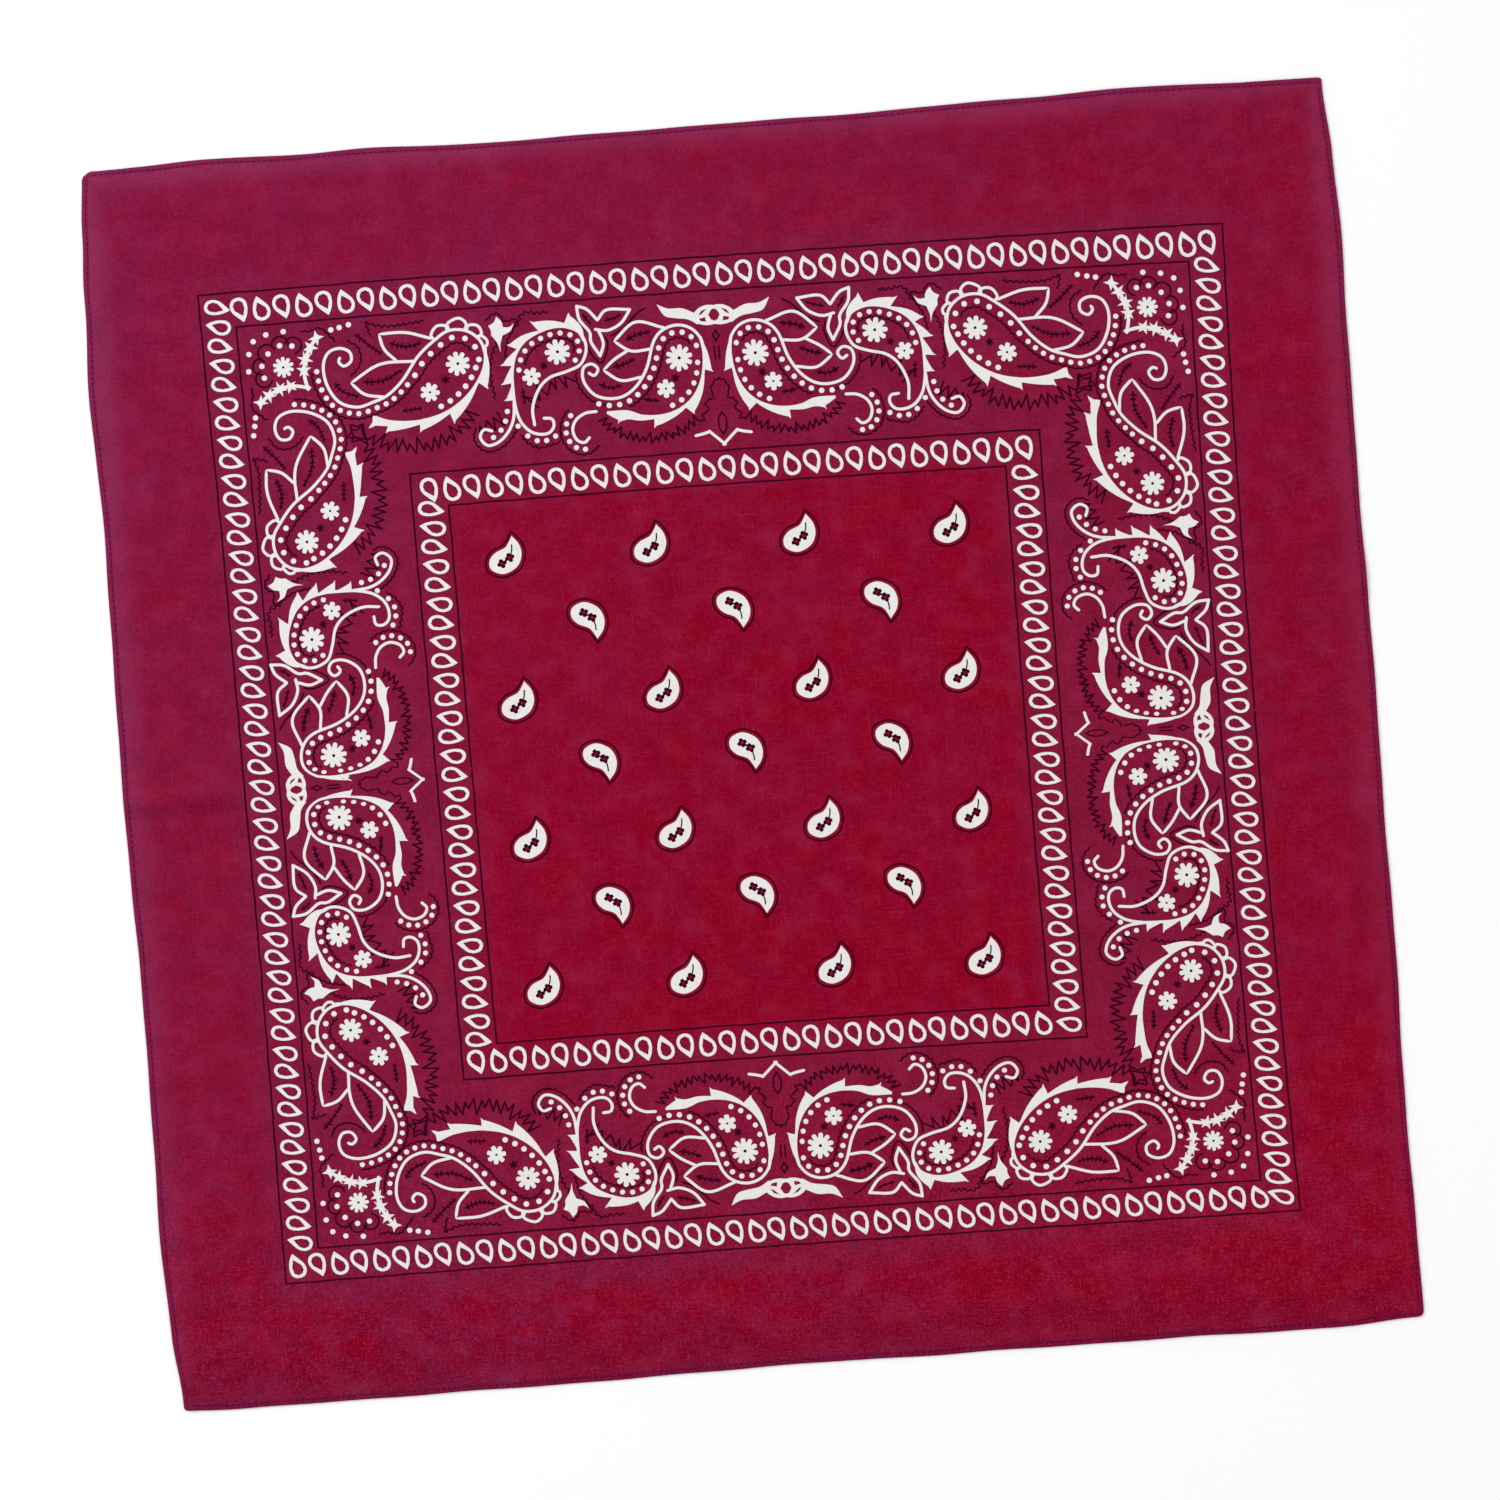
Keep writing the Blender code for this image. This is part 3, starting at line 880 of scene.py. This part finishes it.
# Where the cloth has each ruled square of the print, by its half side: the top
# left corner, the middle of the top side, and so on clockwise.
SQUARES = {
    0: ((-0.8, -3.8),) * 8,
    121.8: ((-125.3, 115.6), (-1.6, 115.8), (121.7, 114.1), (120.9, -5.6), (121.2, -125.2), (-1.5, -123.5),
            (-123.8, -123.4), (-124.8, -3.7)),
    137.0: ((-141.4, 130.7), (-1.5, 130.7), (137.8, 129.3), (136.8, -6.3), (136.8, -140.3), (-1.6, -138.4),
            (-139.6, -138.4), (-140.6, -4.3)),
    207.5: ((-212.1, 201.3), (-1.4, 201.7), (209.5, 198.2), (206.7, -7.4), (208.0, -209.2), (-1.5, -207.3),
            (-209.5, -207.6), (-209.7, -4.8)),
    223.0: ((-227.5, 216.4), (-1.1, 216.7), (225.4, 213.9), (222.2, -5.1), (224.5, -223.7), (-0.4, -222.1),
            (-224.7, -222.2), (-224.8, -3.0)),
    230.0: ((-234.4, 223.2), (-1.0, 223.5), (232.6, 221.0), (229.2, -4.2), (231.9, -230.2), (0.1, -228.8),
            (-231.6, -228.8), (-231.6, -2.4)),
}
AROUND = ((-1, 1), (0, 1), (1, 1), (1, 0), (1, -1), (0, -1), (-1, -1), (-1, 0))


def printed(points):
    """Where the cloth has points of the design, which is printed a little askew."""
    half = np.maximum(np.abs(points).max(axis=1), 1e-6)
    u, v = (points / half[:, None]).T
    halves = sorted(SQUARES)
    place = np.zeros_like(points)
    for k, (a, b) in enumerate(AROUND):
        if a and b:
            weight = (1 + a * u) * (1 + b * v) * (a * u + b * v - 1) / 4
        elif a:
            weight = (1 + a * u) * (1 - v * v) / 2
        else:
            weight = (1 - u * u) * (1 + b * v) / 2
        for axis in (0, 1):
            place[:, axis] += weight * np.interp(half, halves, [SQUARES[h][k][axis] for h in halves])
    return place


def anticlockwise(points):
    x, y = points[:, 0], points[:, 1]
    area = np.sum(x * np.roll(y, -1) - np.roll(x, -1) * y)
    return points if area > 0 else points[::-1]


def on_facets(points, heights):
    """Height of the cloth's own facets at points of the true square."""
    x, y = points[:, 0], points[:, 1]
    i = np.clip(np.searchsorted(LINES, x) - 1, 0, COUNT - 2)
    j = np.clip(np.searchsorted(LINES, y) - 1, 0, COUNT - 2)
    u = (x - LINES[i]) / (LINES[i + 1] - LINES[i])
    v = (y - LINES[j]) / (LINES[j + 1] - LINES[j])
    a, b = heights[i, j], heights[i + 1, j]
    c, d = heights[i + 1, j + 1], heights[i, j + 1]
    return np.where(u > v, a + (b - a) * u + (c - b) * v, a + (c - d) * u + (d - a) * v)


def lay_print(heights):
    """The two inks, each a sheet cut to its marks and laid on the cloth."""
    marks = whole_print()
    corners = [anticlockwise(outline) for _, _, outline in marks]
    ends = np.cumsum([len(outline) for outline in corners])
    outlines = [list(range(end - len(outline), end)) for end, outline in zip(ends, corners)]
    corners = printed(np.vstack(corners))
    inside = LINES[np.abs(LINES) < DESIGN_HALF]
    spots = np.stack(np.meshgrid(inside, inside), -1).reshape(-1, 2)
    flat = [Vector(p) for p in np.vstack([corners, spots])]
    points, _, faces, _, _, sources = delaunay_2d_cdt(flat, [], outlines, 0, SAME_POINT)
    ink_of = []
    for source in sources:
        showing = max(source, key=lambda m: (marks[m][0], m), default=None)
        ink_of.append(BARE if showing is None else marks[showing][1])
    points, faces, ink_of = np.array(points), np.array(faces), np.array(ink_of)
    pieces = []
    for name, ink, material in (("print_white", WHITE, white_ink()), ("print_black", BLACK, black_ink())):
        chosen, inverse = np.unique(faces[ink_of == ink], return_inverse=True)
        flat = points[chosen]
        x, y = flat[:, 0], flat[:, 1]
        laid = in_place(x, y, on_facets(flat, heights) + INK_LIFT)
        piece = add_mesh(name, laid, inverse.reshape(-1, 3), [material])
        piece.data.normals_split_custom_set_from_vertices(top_normals(x, y))
        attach(piece, "root")
        pieces.append(piece)
    return pieces


# ---- stitches
STITCH_PITCH = 2.6  # from one stitch to the next
STITCH_LENGTH = 2.0
STITCH_WIDTH = 0.38
# Rings of a stitch: place along it, share of its thickness, and how far it sinks.
STITCH_RINGS = ((-0.5, 0.35, -0.16), (-0.3, 0.9, -0.02), (0, 1, 0), (0.3, 0.9, -0.02), (0.5, 0.35, -0.16))
STITCH_SECTION = np.radians(np.arange(0, 360, 60))
# Height of the thread over the ground, its thickness and the way that is outward.
STITCH_LEVELS = ((0.93, 0.16, 1), (0.05, 0.04, -1))


def tube_faces(rings, sides):
    """Triangles of a closed tube whose points run ring by ring."""
    faces = []
    for ring in range(rings - 1):
        for k in range(sides):
            a, b = ring * sides + k, ring * sides + (k + 1) % sides
            faces += [(a, b, b + sides), (a, b + sides, a + sides)]
    last = (rings - 1) * sides
    faces += [(0, k + 1, k) for k in range(1, sides - 1)]
    faces += [(last, last + k, last + k + 1) for k in range(1, sides - 1)]
    return np.array(faces)


def stitches():
    """The lockstitch rows of the four hems, seen on both sides of the cloth."""
    count = int(2 * (HALF - STITCH_LINE - 2) / STITCH_PITCH)
    share, fat, sink = np.array(STITCH_RINGS).T[:, :, None] + 0 * STITCH_SECTION
    tubes = []
    for turn, (cos, sin) in enumerate(QUARTERS):
        for n in range(count):
            wander = HALF - STITCH_LINE + 0.12 * math.sin(n * 0.37 + turn)
            slant = 0.10 * math.sin(n * 2.1 + turn) + 0.07
            u = (n - (count - 1) / 2) * STITCH_PITCH + share * STITCH_LENGTH
            w = wander + slant * share * 2 + np.cos(STITCH_SECTION) * STITCH_WIDTH / 2 * fat
            for height, thick, outward in STITCH_LEVELS:
                lift = np.maximum(height + thick * (np.sin(STITCH_SECTION) * fat + sink * outward), 0)
                tubes.append(np.stack([u * cos - w * sin, u * sin + w * cos, lift], axis=-1))
    starts = np.arange(len(tubes))[:, None, None] * share.size
    faces = tube_faces(*share.shape) + starts
    x, y, lift = np.array(tubes).reshape(-1, 3).T
    piece = add_mesh("hem_stitches", in_place(x, y, ground(x, y) + lift), faces.reshape(-1, 3), [thread()])
    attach(piece, "root")
    return piece


# ---- materials
def srgb(red, green, blue):
    """Linear colour of an sRGB one."""
    return tuple(c / 12.92 if c <= 0.04045 else ((c + 0.055) / 1.055) ** 2.4
                 for c in (red / 255, green / 255, blue / 255)) + (1.0,)


PALE = srgb(160, 50, 88)  # worn threads, and the painted highlight beside a crease
DEEP = srgb(84, 0, 26)  # the dark between threads, and the painted shade at the bottom edge and in a crease
EDGE = HALF * MM  # half a side in metres


class Nodes:
    """Short calls for building one material's node tree."""

    def __init__(self, name, roughness, specular):
        self.material = bpy.data.materials.new(name)
        self.material.use_nodes = True
        self.tree = self.material.node_tree
        self.shader = self.tree.nodes["Principled BSDF"]
        self.shader.inputs["Roughness"].default_value = roughness
        self.shader.inputs["Specular IOR Level"].default_value = specular
        self.place = self.add("TexCoord", {}, "Object")

    def add(self, kind, inputs, output, **settings):
        """An output of a new node, whose inputs are linked or set."""
        node = self.tree.nodes.new("ShaderNode" + kind)
        for name, value in settings.items():
            setattr(node, name, value)
        for name, value in inputs.items():
            self.put(node.inputs[name], value)
        return node.outputs[output]

    def put(self, socket, value):
        if isinstance(value, bpy.types.NodeSocket):
            self.tree.links.new(value, socket)
        else:
            socket.default_value = value

    def noise(self, scale, detail=2, shift=(0, 0, 0), stretch=(1, 1, 1)):
        place = self.add("Mapping", {"Vector": self.place, "Scale": stretch, "Location": shift}, "Vector")
        return self.add("TexNoise", {"Vector": place, "Scale": scale, "Detail": detail}, "Fac")

    def span(self, value, low, high, to_low=0, to_high=1, kind="LINEAR"):
        ends = {"Value": value, "From Min": low, "From Max": high, "To Min": to_low, "To Max": to_high}
        return self.add("MapRange", ends, "Result", interpolation_type=kind)

    def ease(self, value, low, high, to_low=0, to_high=1):
        return self.span(value, low, high, to_low, to_high, "SMOOTHSTEP")

    def mix(self, share, first, second):
        return self.add("Mix", {0: share, 6: first, 7: second}, 2, data_type="RGBA")

    def math(self, kind, first, second=0):
        return self.add("Math", {0: first, 1: second}, 0, operation=kind)

    def plus(self, first, second):
        return self.math("ADD", first, second)

    def times(self, first, second):
        return self.math("MULTIPLY", first, second)

    def farther(self, first, second):
        """The larger of two distances, to either side."""
        return self.math("MAXIMUM", self.math("ABSOLUTE", first), self.math("ABSOLUTE", second))

    def bump(self, height, distance, strength):
        raised = self.add("Bump", {"Height": height, "Distance": distance, "Strength": strength}, "Normal")
        self.put(self.shader.inputs["Normal"], raised)

    def painted(self, colour):
        """The material, once its colour is in."""
        self.put(self.shader.inputs["Base Color"], colour)
        return self.material


def dye_and_painted_light(nodes):
    """The cotton's colour: red in the middle with random mottles, threads and slubs, and painted light on it:
    a purple sheen to the top left and the edges, painted shade at the bottom edge, and painted shade and
    highlight along a crease.
    """
    span, ease, plus, times = nodes.span, nodes.ease, nodes.plus, nodes.times
    x, y = (nodes.add("SeparateXYZ", {0: nodes.place}, axis) for axis in "XY")
    ring = nodes.farther(plus(x, 0.002), plus(y, 0.005))
    # painted sheen: the purple haze to the top left and towards the edges
    purple = plus(span(x, -EDGE, EDGE, 0.28, -0.28), span(y, -EDGE, EDGE, -0.38, 0.22))
    purple = plus(purple, ease(ring, 0.10, 0.26, -0.02, 0.46))
    coarse = ease(y, -0.26, -0.12, 2.1, 1)
    for scale, swing, shift in ((16, 1, 0), (62, 0.9, 1.7), (150, 1, 3.1), (420, 0.9, 7.7)):
        mottle = span(nodes.noise(scale, shift=(shift, shift, 0)), 0, 1, -swing / 2, swing / 2)
        purple = plus(purple, times(mottle, coarse))
    colour = nodes.mix(span(purple, -0.3, 1.3), srgb(138, 0, 31), srgb(122, 22, 64))
    weft = nodes.noise(1, 1.5, (0, 0, 2), (170, 2000, 60))
    warp = nodes.noise(1, 1.5, (0, 0, 5), (2000, 170, 60))
    threads = times(plus(weft, warp), 0.5)
    grain = plus(times(nodes.noise(1100), 0.55), times(threads, 0.45))
    patch = nodes.noise(80, 3, (4, 4, 0))
    slubs = [nodes.noise(1, 0, (0, 0, 9), stretch) for stretch in ((60, 1300, 60), (1300, 60, 60))]
    band = times(span(ring, 0.116, 0.128, 0, 0.42), span(ring, 0.232, 0.222))
    warm = times(span(x, -0.14, 0.22, 0, 0.36), span(y, -0.12, -0.23))
    # painted sheen: a paler purple along the edges, stronger to the top left
    edge_sheen = nodes.math("POWER", ease(nodes.farther(x, y), 0.257, 0.273), 2.4)
    edge_sheen = times(edge_sheen, plus(span(x, -EDGE, EDGE, 0.41, 0.26), span(y, -EDGE, EDGE, -0.19, 0.13)))
    # painted shade in a pressed crease at the left margin, with a painted highlight beside it
    crease_shade_and_highlight = [times(times(ease(y, below, line), ease(y, above, line)), span(x, -0.21, -0.25, 0, share))
             for below, line, above, share in ((-0.014, -0.008, -0.003, 0.33), (-0.005, -0.001, 0.007, 0.11))]
    for share, tint in (
            # the third tint here, a paler purple at the edges, is painted sheen
            (band, srgb(112, 32, 68)), (warm, srgb(152, 0, 26)), (edge_sheen, srgb(140, 52, 93)),
            # painted shade: darker towards the bottom edge
            (span(y, -0.246, -0.276, 0, 0.38), DEEP),
            # painted shade and painted highlight along the crease
            (crease_shade_and_highlight[0], DEEP), (crease_shade_and_highlight[1], PALE),
            (times(span(grain, 0.52, 0.72), times(coarse, 0.32)), PALE),
            (times(span(grain, 0.50, 0.32), times(coarse, 0.46)), DEEP),
            (span(patch, 0.50, 0.75, 0, 0.17), PALE), (span(patch, 0.50, 0.25, 0, 0.19), DEEP),
            *((span(slub, 0.66, 0.82, 0, 0.13), srgb(152, 48, 96)) for slub in slubs)):
        colour = nodes.mix(share, colour, tint)
    return colour, threads


def woven(name, tint, share):
    """Dyed cotton with its painted light, mixed with a share of a darker tint, which on the hem is painted
    shade along the turned edge.
    """
    nodes = Nodes(name, 0.95, 0.03)
    colour, threads = dye_and_painted_light(nodes)
    nodes.shader.inputs["Sheen Weight"].default_value = 0.02
    nodes.shader.inputs["Sheen Roughness"].default_value = 0.6
    nodes.shader.inputs["Sheen Tint"].default_value = srgb(220, 120, 190)
    nodes.bump(threads, 0.00018, 0.4)
    return nodes.painted(nodes.mix(share, colour, tint))


def cotton():
    return woven("cotton_dye_and_painted_light", srgb(96, 4, 40), 0)


def hem_cotton():
    # painted shade: the hem band is tinted darker purple along the turned edge
    return woven("hem_cotton", srgb(100, 14, 66), 0.34)


def white_ink():
    nodes = Nodes("white_ink", 0.9, 0.05)
    patches = nodes.noise(900)
    nodes.bump(patches, 0.0001, 0.4)
    wear = nodes.span(patches, 0.50, 0.78, 0, 0.5)
    return nodes.painted(nodes.mix(wear, srgb(224, 223, 220), srgb(208, 192, 196)))


def black_ink():
    nodes = Nodes("black_ink", 0.95, 0.02)
    patches = nodes.span(nodes.noise(700), 0.40, 0.70)
    return nodes.painted(nodes.mix(patches, srgb(36, 0, 22), srgb(60, 2, 32)))


def thread():
    nodes = Nodes("thread", 0.9, 0.05)
    return nodes.painted(nodes.mix(nodes.noise(1800, 1), srgb(62, 0, 40), srgb(96, 10, 56)))


def table_top():
    nodes = Nodes("table_top", 0.95, 0)
    return nodes.painted(nodes.mix(nodes.noise(3), (0.93, 0.93, 0.93, 1), (0.945, 0.945, 0.945, 1)))


# ---- the scene
MAP_SPAN = 0.566  # metres of the plan that each part of the map covers
UPPER_MAP = (np.array([0.002, 0.002]), 0.776)  # corner and size of the upper side's part
LOWER_MAP = (np.array([0.782, 0.002]), 0.215)  # and of the underside's
OUTERMOST = 10  # the point of EDGE_SECTION where the upper side ends
HEM_START = 4  # so many strips of the turned edge are still plain cloth
TABLE_HALF = 4  # half a side of the table, in metres
CAMERA_HEIGHT = 2.0
SENSOR = 36.0
VIEW_WIDTH = 0.6638  # width of the table that the camera sees
VIEW_TURN = -4.545  # the camera is turned this much about the vertical
VIEW_SHIFT = (-1.22, -2.54)  # millimetres from the design's middle, in the picture's axes


def flat_uv(piece, top_faces, edge_faces):
    """A map seen from above: the upper side large, the underside small beside it."""
    mesh = piece.data
    co = np.empty(len(mesh.vertices) * 3, np.float32)
    mesh.vertices.foreach_get("co", co)
    corner = np.empty(len(mesh.loops), np.int32)
    mesh.loops.foreach_get("vertex_index", corner)
    flat = co.reshape(-1, 3)[corner][:, :2] / MAP_SPAN + 0.5
    per_ring = len(edge_faces) // (len(EDGE_SECTION) + 1)
    upper = np.arange(len(flat)) < 3 * (len(top_faces) + per_ring * (OUTERMOST + 1))
    uv = np.where(upper[:, None], *(at + flat * size for at, size in (UPPER_MAP, LOWER_MAP)))
    mesh.uv_layers.new(name="OFBake").data.foreach_set("uv", uv.astype(np.float32).ravel())


def make_cloth():
    points, top, edge, below = shell()
    faces = np.vstack([top, edge, below])
    x, y, z = points.T
    piece = add_mesh("cloth", in_place(x, y, z), faces, [cotton(), hem_cotton()])
    kinds = np.zeros(len(faces), np.int32)
    kinds[len(top) + len(edge) // (len(EDGE_SECTION) + 1) * HEM_START:len(top) + len(edge)] = 1
    piece.data.polygons.foreach_set("material_index", kinds)
    normals = np.zeros((len(points), 3))
    normals[:COUNT ** 2] = top_normals(x[:COUNT ** 2], y[:COUNT ** 2])
    piece.data.normals_split_custom_set_from_vertices(normals)
    flat_uv(piece, top, edge)
    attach(piece, "root")
    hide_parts("panel", "hem_top", "hem_right", "hem_bottom", "hem_left")
    return piece, z[:COUNT ** 2].reshape(COUNT, COUNT)


def add_area(name, place, size, power):
    """A square lamp that points at the origin."""
    light = bpy.data.lights.new(name, "AREA")
    light.size = size
    light.energy = power
    lamp = add_object(name, light)
    lamp.location = place
    lamp.rotation_euler = (-Vector(place)).to_track_quat("-Z", "Y").to_euler()


def add_stage():
    corners = [(x * TABLE_HALF, y * TABLE_HALF, 0) for x, y in ((-1, -1), (1, -1), (1, 1), (-1, 1))]
    mesh = bpy.data.meshes.new("table")
    mesh.from_pydata(corners, [], [(0, 1, 2, 3)])
    mesh.materials.append(table_top())
    floor = add_object("table", mesh)
    world = bpy.data.worlds.new("studio")
    world.use_nodes = True
    background = world.node_tree.nodes["Background"]
    background.inputs["Color"].default_value = (1, 1, 1, 1)
    background.inputs["Strength"].default_value = 0.72
    bpy.context.scene.world = world
    add_area("key", (-1.5, 1.1, 1.5), 0.9, 26)
    add_area("fill", (1.3, -0.9, 1.9), 1.4, 8)


def add_camera():
    turn = math.radians(VIEW_TURN)
    right = np.array([math.cos(turn), math.sin(turn)])
    up = np.array([-math.sin(turn), math.cos(turn)])
    target = np.ravel(plan(np.zeros(1), np.zeros(1))) + right * VIEW_SHIFT[0] + up * VIEW_SHIFT[1]
    data = bpy.data.cameras.new("camera")
    data.sensor_width = SENSOR
    data.lens = SENSOR * CAMERA_HEIGHT / VIEW_WIDTH
    camera = add_object("camera", data)
    camera.location = (*target * MM, CAMERA_HEIGHT)
    camera.rotation_euler = (0, 0, turn)
    bpy.context.scene.camera = camera


cloth, cloth_heights = make_cloth()
inks = lay_print(cloth_heights)
seam = stitches()
bpy.context.scene.view_settings.view_transform = "Standard"
add_stage()
add_camera()
